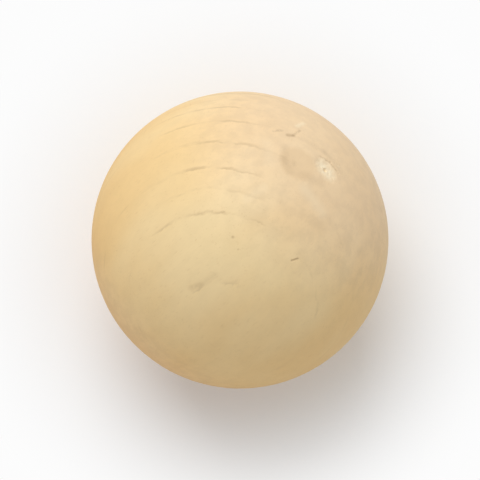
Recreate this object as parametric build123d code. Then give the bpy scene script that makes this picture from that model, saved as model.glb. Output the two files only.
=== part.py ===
from build123d import *
import math
import os

# An undrilled wooden bead: one solid ball, turned between centres from a single blank.
#
# Frame: the origin is the ball's centre and +Z is up, out of the crown. The lathe's axis leans
# from +Z, because the ball lies with one of its two turned poles beside the crown. The tailstock
# centre left a shallow round dish with a pricked point at that pole. The pole at the drive end was
# sanded away to the plain ball.

# Driving dimensions, in millimetres
BALL_DIAMETER = 30.0
DISH_DIAMETER = 2.7        # the centre mark, across its rim
DISH_DEPTH = 0.20          # from the ball's own surface down to the floor of the dish
RIM_ROUND = 0.30           # radius that sanding left on the rim
PRICK_DIAMETER = 0.50      # the pricked point, across its mouth
PRICK_DEPTH = 0.35         # from the floor of the dish down to its tip

# Where the marked pole points, in degrees
POLE_LEAN = 42.0           # away from +Z
POLE_HEADING = 33.5        # from +X towards +Y

ball_radius = BALL_DIAMETER / 2
dish_radius = DISH_DIAMETER / 2
prick_radius = PRICK_DIAMETER / 2


def height_on(radius: float, offset: float) -> float:
    """Height of a circle about the origin, that far out from its middle."""
    return math.sqrt(radius**2 - offset**2)


def turning_profile() -> Face:
    """Half of the ball's section, with the lathe's axis along Z and the marked pole on top."""
    rim = Vector(dish_radius, height_on(ball_radius, dish_radius))

    # The dish is a round hollow: its floor on the axis and its rim on the ball give its radius.
    floor_height = ball_radius - DISH_DEPTH
    sink = rim.Y - floor_height
    floor_radius = (dish_radius**2 + sink**2) / (2 * sink)
    floor_middle = floor_height + floor_radius
    prick_edge = Vector(prick_radius, floor_middle - height_on(floor_radius, prick_radius))
    half_way = (prick_radius + dish_radius) / 2
    floor_point = Vector(half_way, floor_middle - height_on(floor_radius, half_way))

    outline = Wire([
        ThreePointArc((0, -ball_radius), (ball_radius, 0), rim),
        ThreePointArc(rim, floor_point, prick_edge),
        Line(prick_edge, (0, floor_height - PRICK_DEPTH)),
        Line((0, floor_height - PRICK_DEPTH), (0, -ball_radius)),
    ])
    section = Face(outline)
    rim_corner = section.vertices().sort_by_distance(rim)[0]
    return section.fillet_2d(RIM_ROUND, [rim_corner])


def turned_ball() -> Part:
    """The ball as it comes off the lathe, with its axis along Z."""
    section = Plane.XZ * turning_profile()
    return revolve(section, axis=Axis.Z)


# The ball lies with the lathe's axis leaning over.
lying = Rot(0, 0, POLE_HEADING) * Rot(0, POLE_LEAN, 0)
bead = lying * turned_ball()

os.makedirs("parts", exist_ok=True)
export_step(bead, "parts/bead.step")
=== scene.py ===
"""An undrilled wooden bead: a solid ball of pale bare hardwood, turned and fine-sanded.

The ball is one piece. Its skin is a fine mesh that carries the real relief: the turned pole's dish
and pricked point, a small sanded flat, nicks, pinholes, torn burrs and the faint swell of the
growth layers. Its finish is solid wood: every layer, fibre, vessel and ray lies where it would if
the ball had been cut from a plank, so that they meet round every side.

Lengths are in metres. Places on the ball are a lean from +Z and a heading from +X, in degrees.
"""

import logging
import math
from dataclasses import dataclass, field
from enum import Enum

import bmesh
import bpy
import numpy as np
from mathutils import Matrix, Vector, noise


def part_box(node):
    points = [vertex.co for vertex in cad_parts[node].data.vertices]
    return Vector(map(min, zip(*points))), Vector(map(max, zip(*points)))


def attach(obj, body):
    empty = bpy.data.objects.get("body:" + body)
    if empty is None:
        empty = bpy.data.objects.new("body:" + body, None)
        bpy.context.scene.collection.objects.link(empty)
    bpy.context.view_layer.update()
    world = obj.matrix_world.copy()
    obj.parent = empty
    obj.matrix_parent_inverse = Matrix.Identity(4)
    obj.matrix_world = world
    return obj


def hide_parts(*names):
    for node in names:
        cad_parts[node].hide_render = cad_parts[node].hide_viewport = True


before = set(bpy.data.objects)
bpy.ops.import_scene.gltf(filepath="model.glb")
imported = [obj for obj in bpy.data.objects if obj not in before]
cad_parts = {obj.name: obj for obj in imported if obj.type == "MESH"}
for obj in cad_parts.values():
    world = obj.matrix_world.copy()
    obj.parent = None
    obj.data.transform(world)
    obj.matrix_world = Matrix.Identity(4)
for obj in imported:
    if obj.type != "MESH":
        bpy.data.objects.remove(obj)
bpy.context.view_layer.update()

log = logging.getLogger("bead")

MM = 0.001
Socket = bpy.types.NodeSocket
Sockets = bpy.types.NodeOutputs
Value = float | Socket
Inputs = dict[str | int, object]
Colour = tuple[float, float, float]


def linear(red: int, green: int, blue: int) -> Colour:
    """Turns a colour written as 0 to 255 screen values into the shader's linear values.

    Args:
        red: the red channel.
        green: the green channel.
        blue: the blue channel.

    Returns:
        The linear colour.
    """
    def one(value: int) -> float:
        """Straightens one channel."""
        share = value / 255
        return share / 12.92 if share <= 0.04045 else ((share + 0.055) / 1.055) ** 2.4
    return one(red), one(green), one(blue)


# ---------------------------------------------------------------------------------------------
# Places and grain
# ---------------------------------------------------------------------------------------------


@dataclass(frozen=True)
class Place:
    """A place on the ball, as seen from its centre.

    Args:
        lean: degrees away from +Z.
        heading: degrees from +X towards +Y.
    """

    lean: float
    heading: float

    def direction(self) -> Vector:
        """Points from the ball's centre to the place.

        Returns:
            A unit direction.
        """
        lean, heading = math.radians(self.lean), math.radians(self.heading)
        flat = math.sin(lean)
        return Vector((flat * math.cos(heading), flat * math.sin(heading), math.cos(lean)))


@dataclass(frozen=True)
class RingLine:
    """The line where one year's growth ends.

    Args:
        depth: how far it lies towards the bark, as a share of the ball's radius.
        strength: how clearly it shows, from 0 to 1.
    """

    depth: float
    strength: float


@dataclass(frozen=True)
class Grain:
    """How the blank's wood lay when the ball was cut from it.

    Args:
        bark: where the growth layers face, square to them.
        pole: the turned pole. The fibres run as near to it as the layers allow.
        clear: the side where the ring lines show best.
        rings: the ring lines, from the heart outwards.
    """

    bark: Place
    pole: Place
    clear: Place
    rings: tuple[RingLine, ...]

    def fibre(self) -> Vector:
        """The direction that the fibres run in, lying in the growth layers."""
        bark, pole = self.bark.direction(), self.pole.direction()
        return (pole - bark * pole.dot(bark)).normalized()

    def matrix(self) -> Matrix:
        """Turns the ball's own axes into grain axes: X along the fibre, Z square to the layers."""
        fibre, bark = self.fibre(), self.bark.direction()
        return Matrix((fibre, bark.cross(fibre), bark))

    def clear_side(self) -> Vector:
        """Lays the clear side's direction flat in the growth layers.

        Returns:
            A unit direction in grain axes.
        """
        side = self.matrix() @ self.clear.direction()
        side.z = 0
        return side.normalized()


# ---------------------------------------------------------------------------------------------
# Flaws that the skin carries as real relief
# ---------------------------------------------------------------------------------------------


class FlawKind(Enum):
    """What a flaw does to the surface."""

    PINHOLE = "pinhole"
    NICK = "nick"
    FLAT = "flat"
    BURR_GLINT = "burr"
    SMUDGE_AND_SHADE = "smudge"
    PALE_PATCH = "pale_patch"


@dataclass(frozen=True)
class Flaw:
    """One small flaw on the ball.

    Args:
        kind: what it does to the surface.
        start: where it lies, or where it begins.
        end: where it ends. A round flaw ends where it starts.
        width: its width across.
        depth: how deep it goes below the ball, or how high a burr stands.
        stain_and_light: how strongly it is coloured, from 0 to 1. This is a stain on most flaws, painted
            shade on the flat and its edge, and a painted glint on the burrs.
    """

    kind: FlawKind
    start: Place
    end: Place
    width: float
    depth: float
    stain_and_light: float

    def distance(self, directions: np.ndarray, radius: float) -> np.ndarray:
        """How far each point of the ball lies from the flaw's middle line.

        Args:
            directions: unit directions, one a row.
            radius: the ball's radius.

        Returns:
            One distance a row.
        """
        start = np.array(self.start.direction())
        run = np.array(self.end.direction()) - start
        length = max(float(run @ run), 1e-12)
        share = np.clip((directions - start) @ run / length, 0, 1)
        return np.linalg.norm(directions - start - share[:, None] * run, axis=1) * radius

    def sink(self, directions: np.ndarray, radius: float) -> np.ndarray:
        """How deep the flaw cuts below the ball at each point.

        Args:
            directions: unit directions, one a row.
            radius: the ball's radius.

        Returns:
            One depth a row, zero away from the flaw.
        """
        away = self.distance(directions, radius)
        if self.kind is FlawKind.FLAT:
            lean = np.clip(directions @ np.array(self.start.direction()), 0.01, 1)
            below = radius - (radius - self.depth) / lean
            edge = self.depth * 0.12
            return 0.5 * (below + np.sqrt(below**2 + edge**2)) * (away < self.width)
        share = np.clip(1 - away / (self.width / 2), 0, 1)
        if self.kind is FlawKind.NICK:
            lip = np.exp(-((away - self.width * 0.8) / (self.width * 0.3)) ** 2)
            return self.depth * (share - 0.22 * lip)
        bowl = self.depth * share**2 * (3 - 2 * share)
        return -bowl if self.kind is FlawKind.BURR_GLINT else bowl


# ---------------------------------------------------------------------------------------------
# The ball
# ---------------------------------------------------------------------------------------------


@dataclass
class TurnedBall:
    """The ball's skin: a cube's grid blown up to a ball, finer at the flaws, with real relief.

    Args:
        radius: the ball's radius, from its CAD node.
        grain: how the wood lies.
        flaws: the small flaws on it.
        cells: cells along each side of the grid's cube.
        dish_length: the centre mark, round the crown. Torn fibres pulled it out this way.
        dish_width: the centre mark, away from the crown.
        dish_depth: from the ball's surface down to the floor of the dish.
        rim_round: how far sanding softened the rim.
        prick_width: the pricked point, across its mouth.
        prick_depth: from the floor of the dish down to its tip.
        torn: how rough the torn fibres in the dish are.
        sanding: how far sanding left the ball from true.
        layer_swell: how far the hard late wood stands above the ring lines.
    """

    radius: float
    grain: Grain
    flaws: tuple[Flaw, ...]
    cells: int = 108
    dish_length: float = 3.0 * MM
    dish_width: float = 2.4 * MM
    dish_depth: float = 0.20 * MM
    rim_round: float = 0.05 * MM
    prick_width: float = 0.50 * MM
    prick_depth: float = 0.35 * MM
    torn: float = 0.05 * MM
    sanding: float = 0.010 * MM
    layer_swell: float = 0.006 * MM
    mesh: bmesh.types.BMesh = field(default_factory=bmesh.new)

    def build(self) -> bpy.types.Object:
        """Makes the ball's skin.

        Returns:
            The finished object, at the origin.
        """
        self._blow_up_grid()
        self._refine_at_flaws()
        self._lean_to_pole()
        self._press_relief()
        bmesh.ops.recalc_face_normals(self.mesh, faces=self.mesh.faces[:])
        data = bpy.data.meshes.new("bead_skin")
        self.mesh.to_mesh(data)
        self.mesh.free()
        data.shade_smooth()
        skin = bpy.data.objects.new("bead_skin", data)
        bpy.context.scene.collection.objects.link(skin)
        return skin

    def _blow_up_grid(self) -> None:
        """Makes a cube, lays out its map, divides it evenly and rounds it to a unit ball."""
        bmesh.ops.create_cube(self.mesh, size=2)
        self._lay_out_map()
        edges = self.mesh.edges[:]
        bmesh.ops.subdivide_edges(self.mesh, edges=edges, cuts=self.cells - 1, use_grid_fill=True)
        for vert in self.mesh.verts:
            vert.co = Vector([math.tan(part * math.pi / 4) for part in vert.co]).normalized()

    def _lay_out_map(self) -> None:
        """Gives each side of the cube its own cell of a map, three across and two up."""
        layout = self.mesh.loops.layers.uv.new("OFBake")
        columns, rows, margin = 3, 2, 0.006
        for number, face in enumerate(self.mesh.faces):
            axis = max(range(3), key=lambda part: abs(face.normal[part]))
            across, up = [part for part in range(3) if part != axis]
            turn = 1 if (face.normal[axis] > 0) == (axis != 1) else -1
            corner = Vector((number % columns / columns, number // columns / rows))
            for loop in face.loops:
                share = Vector(((turn * loop.vert.co[across] + 1) / 2, (loop.vert.co[up] + 1) / 2))
                size = Vector((1 / columns - 2 * margin, 1 / rows - 2 * margin))
                loop[layout].uv = corner + Vector((margin, margin)) + share * size

    def _refine_at_flaws(self) -> None:
        """Divides the grid twice more round the dish and at each flaw. The pole is still straight up."""
        back = self._lean_matrix().inverted()
        patches = [(Vector((0, 0, 1)), self.dish_length * 0.62)]
        for flaw in self.flaws:
            if flaw.kind is FlawKind.FLAT or not flaw.depth:
                continue
            middle = (flaw.start.direction() + flaw.end.direction()).normalized()
            half = (flaw.start.direction() - flaw.end.direction()).length * self.radius / 2
            patches.append((back @ middle, half + max(flaw.width * 0.8, 0.45 * MM)))
        for _ in range(2):
            inside = set()
            for middle, reach in patches:
                limit = reach / self.radius
                inside.update(vert for vert in self.mesh.verts if (vert.co - middle).length < limit)
            faces = [face for face in self.mesh.faces if inside.issuperset(face.verts)]
            edges = list(dict.fromkeys(edge for face in faces for edge in face.edges))
            bmesh.ops.subdivide_edges(self.mesh, edges=edges, cuts=1, use_grid_fill=True)
            for vert in self.mesh.verts:
                vert.co.normalize()

    def _lean_matrix(self) -> Matrix:
        """Leans a ball with its pole straight up over to where it lies.

        Returns:
            The turn.
        """
        pole = self.grain.pole
        heading = Matrix.Rotation(math.radians(pole.heading), 3, "Z")
        return heading @ Matrix.Rotation(math.radians(pole.lean), 3, "Y")

    def _lean_to_pole(self) -> None:
        """Leans the unit ball over, so that its pole points where the CAD node's does."""
        bmesh.ops.rotate(self.mesh, verts=self.mesh.verts[:], cent=(0, 0, 0), matrix=self._lean_matrix())

    def _press_relief(self) -> None:
        """Brings the unit ball to size and presses every relief into it."""
        directions = np.array([vert.co[:] for vert in self.mesh.verts])
        sink = self._dish(directions) + self._growth(directions) + self._wander(directions)
        for flaw in self.flaws:
            sink += flaw.sink(directions, self.radius)
        for vert, depth in zip(self.mesh.verts, sink):
            vert.co *= self.radius - depth

    def _dish(self, directions: np.ndarray) -> np.ndarray:
        """Works out the centre mark: a shallow torn dish, deepest away from the crown, and its prick.

        Args:
            directions: unit directions, one a row.

        Returns:
            One depth a row, zero away from the mark.
        """
        pole = self.grain.pole.direction()
        outward = (pole * pole.z - Vector((0, 0, 1))).normalized()

        # Only the cap round the pole is worked out. The mark fills a small part of it.
        near = directions @ np.array(pole) > 0.9
        sideways = directions @ np.array(pole.cross(outward)) * self.radius
        away = directions @ np.array(outward) * self.radius
        fibres = self.grain.matrix()
        rough, ragged = np.zeros(len(directions)), np.zeros(len(directions))
        for index in np.flatnonzero(near):
            place = fibres @ Vector(directions[index]) * (self.radius / MM)
            ragged[index] = noise.fractal(place * 1.1, 1.0, 2.0, 3)
            place.x *= 0.35
            rough[index] = noise.fractal(place * 3.4, 1.0, 2.0, 3)
        out = np.hypot(sideways / (self.dish_length / 2), away / (self.dish_width / 2)) + 0.22 * ragged
        bowl = self.dish_depth * (1 - out**2) * (0.75 + 0.35 * away / self.dish_width)
        bowl = 0.5 * (bowl + np.sqrt(bowl**2 + (self.rim_round / 2) ** 2))
        prick = self.prick_depth * np.clip(1 - np.hypot(sideways, away) / (self.prick_width / 2), 0, 1)
        torn = self.torn * rough * np.clip(1.1 - out, 0, 1) ** 0.5
        return np.where(near & (out < 2), bowl + prick + torn, 0)

    def _growth(self, directions: np.ndarray) -> np.ndarray:
        """Works out the faint swell between ring lines, deepest at each line.

        Args:
            directions: unit directions, one a row.

        Returns:
            One depth a row.
        """
        depth = directions @ np.array(self.grain.bark.direction())
        lines = [ring.depth for ring in self.grain.rings]
        phase = np.interp(depth, lines, np.arange(len(lines))) % 1
        return self.layer_swell * (1 - phase) ** 3

    def _wander(self, directions: np.ndarray) -> np.ndarray:
        """Works out the slight unevenness that sanding leaves.

        Args:
            directions: unit directions, one a row.

        Returns:
            One depth a row.
        """
        rows = [Vector(row) for row in directions]
        broad = np.array([noise.noise(row * 3.1) for row in rows])
        close = np.array([noise.noise(row * 9.0) for row in rows])
        return self.sanding * (broad + 0.4 * close)


# ---------------------------------------------------------------------------------------------
# Node building
# ---------------------------------------------------------------------------------------------


class Bench:
    """Lays out nodes in one tree, so that a finish reads as a list of steps."""

    def __init__(self, tree: bpy.types.NodeTree) -> None:
        """Starts on a tree.

        Args:
            tree: the material's or group's own tree.
        """
        self.tree = tree

    def add(self, kind: str, inputs: Inputs | None = None, **settings: object) -> bpy.types.Node:
        """Adds a node.

        Args:
            kind: the node's type name.
            inputs: socket name or number to a value or a socket to link from.
            settings: the node's own settings.

        Returns:
            The new node.
        """
        node = self.tree.nodes.new(kind)
        for name, value in settings.items():
            setattr(node, name, value)
        for name, value in (inputs or {}).items():
            self.feed(node.inputs[name], value)
        return node

    def feed(self, socket: Socket, value: object) -> None:
        """Links a socket, or sets its plain value.

        Args:
            socket: the socket to feed.
            value: a socket to link from, or a plain value.
        """
        if isinstance(value, Socket):
            self.tree.links.new(value, socket)
        else:
            socket.default_value = value

    def math(self, operation: str, first: Value, second: Value = 0.0, third: Value = 0.0) -> Socket:
        """One arithmetic step."""
        inputs = {0: first, 1: second, 2: third}
        return self.add("ShaderNodeMath", inputs, operation=operation).outputs[0]

    def vector(self, operation: str, first: object, second: object = (0, 0, 0)) -> bpy.types.Node:
        """One vector step."""
        return self.add("ShaderNodeVectorMath", {0: first, 1: second}, operation=operation)

    def ease(
        self, value: Value, low: float, high: float, bottom: float = 0.0, top: float = 1.0
    ) -> Socket:
        """Eases from bottom to top as the value goes from low to high."""
        inputs = {"Value": value, "From Min": low, "From Max": high, "To Min": bottom, "To Max": top}
        return self.add("ShaderNodeMapRange", inputs, interpolation_type="SMOOTHSTEP").outputs[0]

    def stretch(self, place: Socket, scale: tuple[float, float, float]) -> Socket:
        """Scales a place along each axis."""
        return self.vector("MULTIPLY", place, scale).outputs[0]

    def noise(self, place: Socket, detail: float = 2.0, roughness: float = 0.5) -> Socket:
        """Smooth noise, about 0.5 on the whole."""
        inputs = {"Vector": place, "Scale": 1.0, "Detail": detail, "Roughness": roughness}
        return self.add("ShaderNodeTexNoise", inputs).outputs["Fac"]

    def clamp(self, value: Value) -> Socket:
        """Keeps a value between 0 and 1."""
        return self.add("ShaderNodeClamp", {"Value": value}).outputs[0]

    def scaled(self, place: Socket, scale: Value) -> Socket:
        """Scales a place evenly."""
        return self.add("ShaderNodeVectorMath", {0: place, "Scale": scale}, operation="SCALE").outputs[0]

    def level(self, value: Socket) -> Socket:
        """Gives all three parts of a vector the same value."""
        return self.add("ShaderNodeCombineXYZ", {0: value, 1: value, 2: value}).outputs[0]

    def tint(self, share: Value, under: object, over: object) -> Socket:
        """Lays one colour over another.

        Args:
            share: how much of the upper colour shows, from 0 to 1.
            under: the lower colour, as a socket or a plain colour.
            over: the upper colour, as a socket or a plain colour.

        Returns:
            The mixed colour.
        """
        node = self.add("ShaderNodeMix", data_type="RGBA")
        for socket, value in ((node.inputs[0], share), (node.inputs[6], under), (node.inputs[7], over)):
            if isinstance(value, tuple) and len(value) == 3:
                value = (*value, 1.0)
            self.feed(socket, value)
        return node.outputs[2]


class NodeGroup:
    """A shader node group with named inputs and outputs."""

    def __init__(self, name: str, inputs: dict[str, str], outputs: dict[str, str]) -> None:
        """Makes an empty group.

        Args:
            name: the group's name.
            inputs: socket name to kind, such as Float or Vector.
            outputs: socket name to kind.
        """
        self.tree = bpy.data.node_groups.new(name, "ShaderNodeTree")
        for sockets, way in ((inputs, "INPUT"), (outputs, "OUTPUT")):
            for title, kind in sockets.items():
                self.tree.interface.new_socket(title, in_out=way, socket_type=f"NodeSocket{kind}")
        self.bench = Bench(self.tree)
        self.taken = self.tree.nodes.new("NodeGroupInput").outputs
        self.given = self.tree.nodes.new("NodeGroupOutput").inputs

    def place(self, bench: Bench, inputs: dict[str, object]) -> bpy.types.Node:
        """Puts the group into a tree with its own values.

        Args:
            bench: the tree that takes it.
            inputs: socket name to a value or a socket to link from.

        Returns:
            The group's node.
        """
        node = bench.tree.nodes.new("ShaderNodeGroup")
        node.node_tree = self.tree
        for name, value in inputs.items():
            bench.feed(node.inputs[name], value)
        return node


def scar_group() -> NodeGroup:
    """A mask that is 1 on a line between two places and eases to 0 at its edge.

    Returns:
        The group. It takes its places, reach and softness in millimetres.
    """
    group = NodeGroup(
        "scar",
        {"Place": "Vector", "Start": "Vector", "End": "Vector", "Reach": "Float", "Softness": "Float"},
        {"Mask": "Float"},
    )
    bench, taken = group.bench, group.taken
    run = bench.vector("SUBTRACT", taken["End"], taken["Start"]).outputs[0]
    away = bench.vector("SUBTRACT", taken["Place"], taken["Start"]).outputs[0]
    along = bench.vector("DOT_PRODUCT", away, run).outputs["Value"]
    length = bench.math("MAXIMUM", bench.vector("DOT_PRODUCT", run, run).outputs["Value"], 1e-6)
    share = bench.clamp(bench.math("DIVIDE", along, length))
    reached = bench.scaled(run, share)
    distance = bench.vector("DISTANCE", away, reached).outputs["Value"]
    edge = bench.math("SUBTRACT", taken["Reach"], distance)
    bench.feed(group.given["Mask"], bench.clamp(bench.math("DIVIDE", edge, taken["Softness"])))
    return group


def layer_group(grain: Grain) -> NodeGroup:
    """Growth layers: their ring lines, and the slow build-up of late wood before each.

    Args:
        grain: how the wood lies.

    Returns:
        The group. It takes a place in grain axes in millimetres, and the ball's radius.
    """
    group = NodeGroup(
        "growth_layers",
        {"Place": "Vector", "Radius": "Float"},
        {"Line": "Float", "Late wood": "Float"},
    )
    bench, taken = group.bench, group.taken

    # The layers wander slowly by one reach and fray finely by another, both in millimetres.
    drift_reach, fray_reach = 0.8, 0.50
    drift = bench.noise(bench.stretch(taken["Place"], (0.07, 0.13, 0.13)), 1.0)
    fray = bench.noise(bench.stretch(taken["Place"], (0.45, 1.5, 1.5)), 3.0, 0.60)
    depth = bench.add("ShaderNodeSeparateXYZ", {0: taken["Place"]}).outputs["Z"]
    depth = bench.math("MULTIPLY_ADD", bench.math("SUBTRACT", drift, 0.5), drift_reach, depth)
    depth = bench.math("MULTIPLY_ADD", bench.math("SUBTRACT", fray, 0.5), fray_reach, depth)
    share = bench.math("DIVIDE", depth, taken["Radius"])

    # The ring lines are unevenly spaced, so a ramp counts them in its red, one whole number a line,
    # and holds how clearly each one shows in its green.
    ramp = bench.add("ShaderNodeValToRGB", {"Fac": bench.math("MULTIPLY_ADD", share, 0.5, 0.5)})
    count = len(grain.rings) - 1
    stops = ramp.color_ramp.elements
    for number, ring in enumerate(grain.rings):
        stop = stops[number] if number < 2 else stops.new(1.0)
        stop.position = (ring.depth + 1) / 2
        stop.color = (number / count, ring.strength, 0.0, 1.0)
    counted = bench.add("ShaderNodeSeparateColor", {0: ramp.outputs["Color"]}).outputs
    rings = bench.math("MULTIPLY", counted[0], float(count))
    phase = bench.math("FRACT", rings)

    # Each line shows on the clear side, over a wider stretch towards the bark. It comes and goes
    # elsewhere, and breaks into dashes.
    flat = bench.vector("NORMALIZE", bench.stretch(taken["Place"], (1, 1, 0))).outputs[0]
    facing = bench.vector("DOT_PRODUCT", flat, tuple(grain.clear_side())).outputs["Value"]
    outer = bench.math("MAXIMUM", bench.math("SUBTRACT", share, 0.6), 0.0)
    clear = bench.ease(bench.math("ADD", facing, bench.math("MULTIPLY", outer, 0.6)), 0.88, 0.985)
    patchy = bench.noise(bench.stretch(taken["Place"], (0.16, 0.30, 0.95)), 2.0, 0.6)
    shown = bench.math("MAXIMUM", clear, bench.ease(patchy, 0.50, 0.74, 0.0, 0.55))
    broken = bench.noise(bench.stretch(taken["Place"], (0.38, 0.48, 1.4)), 2.0)
    dashes = bench.ease(broken, 0.38, 0.62, 0.12, 1.0)
    strength = bench.math("MULTIPLY", bench.math("MULTIPLY", shown, dashes), counted[1])

    # A line darkens slowly before the year's end and stops sharply after it.
    before = bench.ease(phase, 0.87, 0.985)
    after = bench.ease(phase, 0.0, 0.05, 1.0, 0.0)
    line = bench.math("MAXIMUM", before, after)
    late = bench.math("POWER", phase, 3.0)
    bench.feed(group.given["Line"], bench.math("MULTIPLY", line, strength))
    bench.feed(group.given["Late wood"], bench.math("MULTIPLY", late, strength))
    return group


def fibre_group() -> NodeGroup:
    """Fibres, vessels and rays.

    Returns:
        The group. It takes a place in grain axes in millimetres.
    """
    group = NodeGroup(
        "fibres",
        {"Place": "Vector"},
        {"Streak": "Float", "Mottle": "Float", "Fine": "Float", "Vessel": "Float", "Ray": "Float"},
    )
    bench, place = group.bench, group.taken["Place"]
    bench.feed(group.given["Streak"], bench.noise(bench.stretch(place, (0.06, 1.1, 0.55)), 3.0, 0.6))
    bench.feed(group.given["Mottle"], bench.noise(bench.stretch(place, (0.62, 0.80, 0.80)), 3.0, 0.62))
    bench.feed(group.given["Fine"], bench.noise(bench.stretch(place, (0.5, 9.0, 9.0)), 2.0, 0.6))

    # Vessels and rays are dots in long cells. Each has its reach and the share of cells that hold one.
    for title, scale, reach, share in (
        ("Vessel", (0.85, 6.0, 6.0), 0.30, 0.42),
        ("Ray", (1.1, 6.5, 0.55), 0.26, 0.30),
    ):
        cells = bench.add("ShaderNodeTexVoronoi", {"Vector": bench.stretch(place, scale), "Scale": 1.0})
        dot = bench.ease(cells.outputs["Distance"], reach * 0.35, reach, 1.0, 0.0)
        pick = bench.add("ShaderNodeSeparateColor", {0: cells.outputs["Color"]}).outputs[0]
        kept = bench.math("LESS_THAN", pick, share)
        bench.feed(group.given[title], bench.math("MULTIPLY", dot, kept))
    return group


# ---------------------------------------------------------------------------------------------
# The bare wood finish
# ---------------------------------------------------------------------------------------------


@dataclass(frozen=True)
class BareWood:
    """Pale close-grained hardwood, fine-sanded and left bare.

    Args:
        pale: the early wood.
        warm: early wood where it is warmer.
        late: late wood, just before a ring line.
        ring: the ring line itself.
        vessel: cut vessels.
        ray: ray flecks.
        torn: raw torn fibres in the centre mark. The burrs take it as their painted glint, and the paler
            patches take it too.
        dirt_and_shade: what lies in nicks and pinholes, and the painted shade in the pricked point and
            along the flat's edge.
        end: end grain, where the fibres come out.
        flat_shade: the sanded flat's darker tone, painted shade for its facet.
        roughness: satin of the sanded wood.
        specular: how strongly the satin reflects.
        streak_shade: how far the streaks change the shade.
        fibre_shade: how far the fine fibres change it.
        mottle_shade: how far the mottling changes it on the long sides.
        end_mottle_shade: how much further it changes it on the end grain.
        end_share: how much of the end grain's colour shows there.
        late_share: how much of the late wood's colour shows.
        line_share: how much of the ring lines' colour shows.
        ray_share: how much of the rays' colour shows.
        vessel_share: how much of the vessels' colour shows.
        pit_share: how far the pricked point is darkened, as painted shade in its recess.
        tooth: how deep the finest relief goes.
    """

    pale: Colour = linear(247, 221, 170)
    warm: Colour = linear(243, 211, 154)
    late: Colour = linear(238, 207, 159)
    ring: Colour = linear(168, 142, 103)
    vessel: Colour = linear(203, 168, 121)
    ray: Colour = linear(214, 178, 130)
    torn: Colour = linear(255, 239, 206)
    dirt_and_shade: Colour = linear(122, 92, 58)
    end: Colour = linear(241, 213, 177)
    flat_shade: Colour = linear(222, 190, 146)
    roughness: float = 0.47
    specular: float = 0.32
    streak_shade: float = 0.016
    fibre_shade: float = 0.020
    mottle_shade: float = 0.026
    end_mottle_shade: float = 0.22
    end_share: float = 0.75
    late_share: float = 0.40
    line_share: float = 0.35
    ray_share: float = 0.16
    vessel_share: float = 0.18
    pit_share: float = 0.18
    tooth: float = 0.02 * MM

    def make(self, ball: TurnedBall) -> bpy.types.Material:
        """Builds the finish.

        Args:
            ball: the ball it goes on, for its radius, grain and flaws.

        Returns:
            The material.
        """
        material = bpy.data.materials.new("bare_wood")
        material.use_nodes = True
        material.node_tree.nodes.clear()
        bench = Bench(material.node_tree)
        radius = ball.radius / MM
        own = bench.add("ShaderNodeTexCoord").outputs["Object"]
        place = bench.scaled(own, 1 / MM)
        turn = ball.grain.matrix().to_euler("XYZ")
        grain = bench.add("ShaderNodeMapping", {"Vector": place, "Rotation": turn[:]}).outputs[0]
        layers = layer_group(ball.grain).place(bench, {"Place": grain, "Radius": radius}).outputs
        fibres = fibre_group().place(bench, {"Place": grain}).outputs

        colour = self._clear_wood(bench, grain, radius, layers, fibres)
        colour, scars = self._mark(bench, ball, place, colour)

        rough = bench.math("MULTIPLY_ADD", fibres["Fine"], 0.10, self.roughness - 0.05)
        rough = bench.math("MULTIPLY_ADD", layers["Line"], 0.08, rough)
        rough = bench.math("MULTIPLY_ADD", fibres["Vessel"], 0.08, rough)
        rough = bench.math("MULTIPLY_ADD", scars, 0.25, rough)

        height = bench.math("MULTIPLY", fibres["Vessel"], -1.0)
        height = bench.math("MULTIPLY_ADD", layers["Line"], -0.35, height)
        height = bench.math("MULTIPLY_ADD", fibres["Fine"], 0.5, height)
        height = bench.math("MULTIPLY_ADD", fibres["Ray"], -0.3, height)
        bump = bench.add("ShaderNodeBump", {"Height": height, "Strength": 0.5, "Distance": self.tooth})

        inputs = {"Base Color": colour, "Roughness": rough, "Normal": bump.outputs[0]}
        surface = bench.add("ShaderNodeBsdfPrincipled", {**inputs, "Specular IOR Level": self.specular})
        bench.add("ShaderNodeOutputMaterial", {"Surface": surface.outputs[0]})
        return material

    def _clear_wood(
        self, bench: Bench, grain: Socket, radius: float, layers: Sockets, fibres: Sockets
    ) -> Socket:
        """Colours the clear wood: slow drift, streaks and mottling, then the small figures in it.

        Args:
            bench: the material's tree.
            grain: a place in grain axes, in millimetres.
            radius: the ball's radius, in millimetres.
            layers: what the growth layers put out.
            fibres: what the fibres put out.

        Returns:
            The colour.
        """
        along = bench.add("ShaderNodeSeparateXYZ", {0: grain}).outputs["X"]
        end_grain = bench.ease(bench.math("ABSOLUTE", along), radius * 0.35, radius * 0.95)
        drift = bench.noise(bench.stretch(grain, (0.05, 0.12, 0.12)), 2.0)
        colour = bench.tint(bench.ease(drift, 0.35, 0.65), self.pale, self.warm)

        streak = bench.ease(fibres["Streak"], 0.30, 0.70, -0.5, 0.5)
        mottle = bench.ease(fibres["Mottle"], 0.32, 0.68, -0.5, 0.5)
        fine = bench.ease(fibres["Fine"], 0.25, 0.75, -0.5, 0.5)
        shade = bench.math("MULTIPLY_ADD", fine, self.fibre_shade, 1.0)
        shade = bench.math("MULTIPLY_ADD", streak, self.streak_shade, shade)
        mottled = bench.math("MULTIPLY_ADD", end_grain, self.end_mottle_shade, self.mottle_shade)
        shade = bench.math("MULTIPLY_ADD", mottle, mottled, shade)
        colour = bench.vector("MULTIPLY", colour, bench.level(shade)).outputs[0]

        for share, strength, over in (
            (end_grain, self.end_share, self.end),
            (layers["Late wood"], self.late_share, self.late),
            (layers["Line"], self.line_share, self.ring),
            (fibres["Ray"], self.ray_share, self.ray),
            (fibres["Vessel"], self.vessel_share, self.vessel),
        ):
            colour = bench.tint(bench.math("MULTIPLY", share, strength), colour, over)
        return colour

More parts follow.
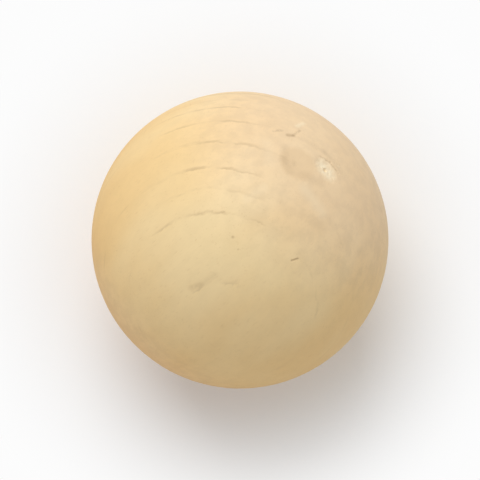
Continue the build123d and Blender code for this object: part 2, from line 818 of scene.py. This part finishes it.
    def _mark(
        self, bench: Bench, ball: TurnedBall, place: Socket, colour: Socket
    ) -> tuple[Socket, Socket]:
        """Colours the centre mark and the flaws.

        Args:
            bench: the material's tree.
            ball: the ball that carries them.
            place: where on the ball, in millimetres.
            colour: the clear wood's colour.

        Returns:
            The marked colour, and a mask of raw or broken wood.
        """
        scar = scar_group()
        radius = ball.radius / MM
        ragged = bench.noise(bench.stretch(place, (2.6, 2.6, 2.6)), 3.0, 0.65)
        ragged = bench.math("MULTIPLY", bench.math("SUBTRACT", ragged, 0.5), 0.9)
        frayed = bench.vector("ADD", place, bench.level(ragged)).outputs[0]

        def mask(start: Place, end: Place, reach: float, softness: float, where: Socket) -> Socket:
            """Makes one scar's mask.

            Args:
                start: where the scar begins.
                end: where it ends.
                reach: from its middle line to its edge, in millimetres.
                softness: how far in from the edge it eases, in millimetres.
                where: the place to test, plain or frayed.

            Returns:
                The mask.
            """
            inputs = {"Place": where, "Reach": reach, "Softness": softness}
            for title, end_place in (("Start", start), ("End", end)):
                inputs[title] = tuple(end_place.direction() * radius)
            return scar.place(bench, inputs).outputs[0]

        # The centre mark is an oval across the pole, pale and torn, with painted shade in its pricked
        # point.
        pole = ball.grain.pole
        width, length = ball.dish_width / MM, ball.dish_length / MM
        turn = math.degrees((length - width) / 2 / (radius * math.sin(math.radians(pole.lean))))
        ends = (Place(pole.lean, pole.heading - turn), Place(pole.lean, pole.heading + turn))
        raw = mask(*ends, width / 2, 0.95, frayed)
        tufts = bench.noise(bench.stretch(place, (2.2, 2.2, 2.2)), 2.0, 0.6)
        tufts = bench.ease(tufts, 0.36, 0.64, 0.58, 1.0)
        colour = bench.tint(bench.math("MULTIPLY", raw, tufts), colour, self.torn)
        # Painted shade: the pricked point is darkened inside its recess, over the shade that its real
        # depth gives.
        pit = mask(pole, pole, ball.prick_width / MM / 2 + 0.10, 0.30, frayed)
        colour = bench.tint(bench.math("MULTIPLY", pit, self.pit_share), colour, self.dirt_and_shade)
        scars = bench.math("MAXIMUM", raw, pit)

        # The flat's darker colour is painted shade for its facet, and the burrs' pale colour is a
        # painted glint.
        over = {FlawKind.FLAT: self.flat_shade, FlawKind.BURR_GLINT: self.torn, FlawKind.PALE_PATCH: self.torn}
        for flaw in ball.flaws:
            half = flaw.width / MM / 2
            softness = 0.55 if flaw.kind is FlawKind.FLAT else half * 0.9
            where = place if flaw.kind is FlawKind.PINHOLE else frayed
            flaw_mask = mask(flaw.start, flaw.end, half, softness, where)
            share = bench.math("MULTIPLY", flaw_mask, flaw.stain_and_light)
            colour = bench.tint(share, colour, over.get(flaw.kind, self.dirt_and_shade))
            if flaw.kind in (FlawKind.PINHOLE, FlawKind.NICK, FlawKind.BURR_GLINT):
                scars = bench.math("MAXIMUM", scars, flaw_mask)
        return colour, scars


# ---------------------------------------------------------------------------------------------
# Floor, light and camera
# ---------------------------------------------------------------------------------------------


@dataclass(frozen=True)
class FloorCard:
    """Matt white card near the ball, which melts into an even backdrop further out.

    Args:
        reach: how far out the card still takes light and shadow.
        backdrop: how bright the bare background shows.
        card: the card's colour.
        warm_bounce: what the card throws back up on the side where more wood would lie.
        plain_bounce: what it throws back up on the open side.
        open_side: which way the open side lies.
    """

    reach: float = 0.032
    backdrop: float = 0.975
    card: Colour = (0.98, 0.98, 0.98)
    warm_bounce: Colour = (0.81, 0.61, 0.37)
    plain_bounce: Colour = (0.88, 0.83, 0.76)
    open_side: tuple[float, float, float] = (0.75, 0.66, 0)

    def make(self) -> bpy.types.Material:
        """Builds the finish.

        Returns:
            The material.
        """
        material = bpy.data.materials.new("floor_card")
        material.use_nodes = True
        material.node_tree.nodes.clear()
        bench = Bench(material.node_tree)
        place = bench.add("ShaderNodeTexCoord").outputs["Object"]
        out = bench.vector("LENGTH", bench.stretch(place, (1, 1, 0))).outputs["Value"]
        far = bench.ease(out, self.reach * 0.45, self.reach)
        seen = bench.add("ShaderNodeLightPath").outputs["Is Camera Ray"]
        side = bench.vector("DOT_PRODUCT", place, self.open_side).outputs["Value"]
        bounce = bench.tint(bench.ease(side, -0.02, 0.03), self.warm_bounce, self.plain_bounce)
        white = bench.tint(seen, bounce, self.card)
        card = bench.add("ShaderNodeBsdfDiffuse", {"Color": white}).outputs[0]
        glow = bench.add("ShaderNodeEmission", {"Color": self.backdrop_colour()}).outputs[0]
        share = bench.math("MULTIPLY", far, seen)
        mixed = bench.add("ShaderNodeMixShader", {0: share, 1: card, 2: glow}).outputs[0]
        bench.add("ShaderNodeOutputMaterial", {"Surface": mixed})
        return material

    def backdrop_colour(self) -> tuple[float, float, float, float]:
        """The bare background's grey."""
        return self.backdrop, self.backdrop, self.backdrop, 1.0


@dataclass
class Studio:
    """A plain pale floor, soft light from above and behind, and the camera.

    Args:
        subject_radius: the ball's radius.
        floor_height: what the ball lies on.
        floor_reach: how far the floor runs out.
        finish: the floor's finish.
        ambient: strength of the light from all round.
        window_place: where the large soft lamp hangs.
        window_size: the length of its side.
        window_power: its power in watts.
        camera_lift: the camera's height above the horizon, in degrees.
        camera_distance: from the ball's centre, in ball radii.
        fill_share: how much of the frame the ball takes.
    """

    subject_radius: float
    floor_height: float
    floor_reach: float = 1.1
    finish: FloorCard = FloorCard()
    ambient: float = 0.55
    window_place: tuple[float, float, float] = (-0.08, 0.25, 0.31)
    window_size: float = 0.30
    window_power: float = 0.90
    camera_lift: float = 83.0
    camera_distance: float = 16.7
    fill_share: float = 0.62

    def build(self) -> None:
        """Makes the floor, the world, the lamp and the camera."""
        self._floor()
        self._world()
        self._window()
        self._camera()
        bpy.context.scene.view_settings.view_transform = "Standard"

    def _floor(self) -> None:
        """A round pale floor."""
        mesh = bmesh.new()
        bmesh.ops.create_circle(mesh, cap_ends=True, segments=96, radius=self.floor_reach)
        bmesh.ops.translate(mesh, verts=mesh.verts[:], vec=(0, 0, self.floor_height))
        data = bpy.data.meshes.new("floor")
        mesh.to_mesh(data)
        mesh.free()
        floor = bpy.data.objects.new("floor", data)
        bpy.context.scene.collection.objects.link(floor)
        data.materials.append(self.finish.make())

    def _world(self) -> None:
        """Even light from all round, and the backdrop's own brightness where it is seen."""
        world = bpy.data.worlds.new("studio")
        world.use_nodes = True
        world.node_tree.nodes.clear()
        bench = Bench(world.node_tree)
        bpy.context.scene.world = world
        all_round = {"Color": (1, 1, 1, 1), "Strength": self.ambient}
        light = bench.add("ShaderNodeBackground", all_round).outputs[0]
        backdrop = {"Color": self.finish.backdrop_colour(), "Strength": 1.0}
        shown = bench.add("ShaderNodeBackground", backdrop).outputs[0]
        seen = bench.add("ShaderNodeLightPath").outputs["Is Camera Ray"]
        mixed = bench.add("ShaderNodeMixShader", {0: seen, 1: light, 2: shown}).outputs[0]
        bench.add("ShaderNodeOutputWorld", {"Surface": mixed})

    def _window(self) -> None:
        """Hangs the large soft square lamp, facing the ball."""
        data = bpy.data.lights.new("window", "AREA")
        data.size, data.energy = self.window_size, self.window_power
        lamp = bpy.data.objects.new("window", data)
        lamp.location = self.window_place
        lamp.rotation_euler = Vector(self.window_place).to_track_quat("Z", "Y").to_euler()
        bpy.context.scene.collection.objects.link(lamp)

    def _camera(self) -> None:
        """Looks down on the ball, with the lens that gives it its share of the frame."""
        data = bpy.data.cameras.new("camera")
        half = math.asin(1 / self.camera_distance) / self.fill_share
        data.lens = data.sensor_width / 2 / math.tan(half)
        data.clip_start, data.clip_end = 0.01, 10.0
        camera = bpy.data.objects.new("camera", data)
        lift = math.radians(self.camera_lift)
        away = Vector((0, -math.cos(lift), math.sin(lift)))
        camera.location = away * self.camera_distance * self.subject_radius
        camera.rotation_euler = away.to_track_quat("Z", "Y").to_euler()
        bpy.context.scene.collection.objects.link(camera)
        bpy.context.scene.camera = camera


# ---------------------------------------------------------------------------------------------
# Assembly
# ---------------------------------------------------------------------------------------------

TURNED_POLE = Place(42.0, 33.5)
GRAIN = Grain(
    bark=Place(36.0, -104.0),
    pole=TURNED_POLE,
    clear=Place(25.0, 119.0),
    rings=(
        RingLine(-0.99, 0.3), RingLine(-0.86, 0.7), RingLine(-0.70, 0.4), RingLine(-0.56, 0.8),
        RingLine(-0.40, 0.5), RingLine(-0.27, 0.8), RingLine(-0.10, 0.4), RingLine(0.03, 0.7),
        RingLine(0.208, 0.7), RingLine(0.400, 0.8), RingLine(0.577, 1.0), RingLine(0.690, 0.35),
        RingLine(0.787, 0.95), RingLine(0.885, 0.0), RingLine(0.972, 0.6), RingLine(1.0, 0.0),
    ),
)


def spot(kind: FlawKind, place: Place, width: float, depth: float, stain_and_light: float) -> Flaw:
    """A round flaw, with its width and depth in millimetres."""
    return Flaw(kind, place, place, width * MM, depth * MM, stain_and_light)


def streak(
    kind: FlawKind, places: tuple[Place, ...], width: float, depth: float, stain_and_light: float
) -> list[Flaw]:
    """A flaw that runs from place to place, with its width and depth in millimetres."""
    return [Flaw(kind, *pair, width * MM, depth * MM, stain_and_light) for pair in zip(places, places[1:])]


FLAWS = (
    # The sanded flat, its darker edge and the smudges in it. The flat is cut into the skin; its darker
    # tone and its darker edge are painted shade for the facet and the turn at its rim.
    spot(FlawKind.FLAT, Place(33.0, 46.5), 4.2, 0.12, 0.33),
    # Painted shade: the dark line along the flat's edge, where the facet turns from the ball.
    *streak(FlawKind.SMUDGE_AND_SHADE, (Place(35.0, 60.0), Place(30.4, 55.6), Place(27.6, 47.5)), 1.3, 0.0, 0.09),
    *streak(FlawKind.SMUDGE_AND_SHADE, (Place(31.0, 36.6), Place(35.6, 27.6)), 1.5, 0.0, 0.12),
    spot(FlawKind.SMUDGE_AND_SHADE, Place(31.7, 48.3), 0.9, 0.0, 0.12),

    # The nick above the flat, with a brown fleck beside it and a torn burr over it. The burr stands up
    # from the skin; its pale colour is a painted glint.
    *streak(FlawKind.SMUDGE_AND_SHADE, (Place(41.0, 70.5), Place(43.2, 66.2)), 0.50, 0.0, 0.22),
    *streak(FlawKind.PINHOLE, (Place(42.0, 62.4), Place(43.4, 59.6)), 0.60, 0.045, 0.34),
    *streak(FlawKind.NICK, (Place(43.6, 59.8), Place(48.2, 58.4)), 0.44, 0.02, 0.26),
    *streak(FlawKind.BURR_GLINT, (Place(49.8, 60.8), Place(54.4, 59.1)), 0.70, 0.03, 0.60),

    # The centre mark's far rim: a broken line, a burr at its end and a shade beyond it. The burr stands
    # up from the skin; its pale colour is a painted glint.
    *streak(FlawKind.NICK, (Place(44.1, 41.3), Place(46.2, 35.6), Place(46.8, 29.1)), 0.34, 0.04, 0.30),
    spot(FlawKind.BURR_GLINT, Place(49.3, 32.0), 0.42, 0.04, 0.75),
    *streak(FlawKind.SMUDGE_AND_SHADE, (Place(48.4, 30.0), Place(47.4, 42.0), Place(45.2, 51.6)), 1.0, 0.0, 0.08),

    # Brown flecks and faint smudges round the crown.
    spot(FlawKind.PINHOLE, Place(6.6, -113.0), 0.44, 0.04, 0.32),
    spot(FlawKind.PINHOLE, Place(10.5, -93.5), 0.26, 0.03, 0.24),
    *streak(FlawKind.PINHOLE, (Place(24.3, -36.4), Place(25.8, -32.2)), 0.30, 0.07, 0.52),
    *streak(FlawKind.SMUDGE_AND_SHADE, (Place(32.3, -5.0), Place(23.9, 7.7)), 1.6, 0.0, 0.06),
    *streak(FlawKind.SMUDGE_AND_SHADE, (Place(22.3, -116.5), Place(29.1, -122.9)), 1.0, 0.0, 0.09),

    # Paler patches.
    *streak(FlawKind.PALE_PATCH, (Place(27.9, 27.7), Place(32.0, 8.4)), 1.8, 0.0, 0.22),
    *streak(FlawKind.PALE_PATCH, (Place(15.2, 54.9), Place(8.5, 73.5)), 1.4, 0.0, 0.14),
    *streak(FlawKind.PALE_PATCH, (Place(33.5, 71.5), Place(25.5, 64.5)), 1.8, 0.0, 0.12),
)


def main() -> None:
    """Builds the ball, dresses it and sets up the studio."""
    low, high = (Vector(corner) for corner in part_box("bead"))
    radius = (high.z - low.z) / 2
    ball = TurnedBall(radius, GRAIN, FLAWS)
    skin = ball.build()
    skin.data.materials.append(BareWood().make(ball))
    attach(skin, "root")
    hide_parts("bead")
    log.info("bead_skin: %d faces", len(skin.data.polygons))
    Studio(radius, low.z).build()
    log.info("studio: floor, lamp and camera")


if __name__ == "__main__":
    logging.basicConfig(level=logging.INFO, format="%(name)s: %(message)s")
    main()
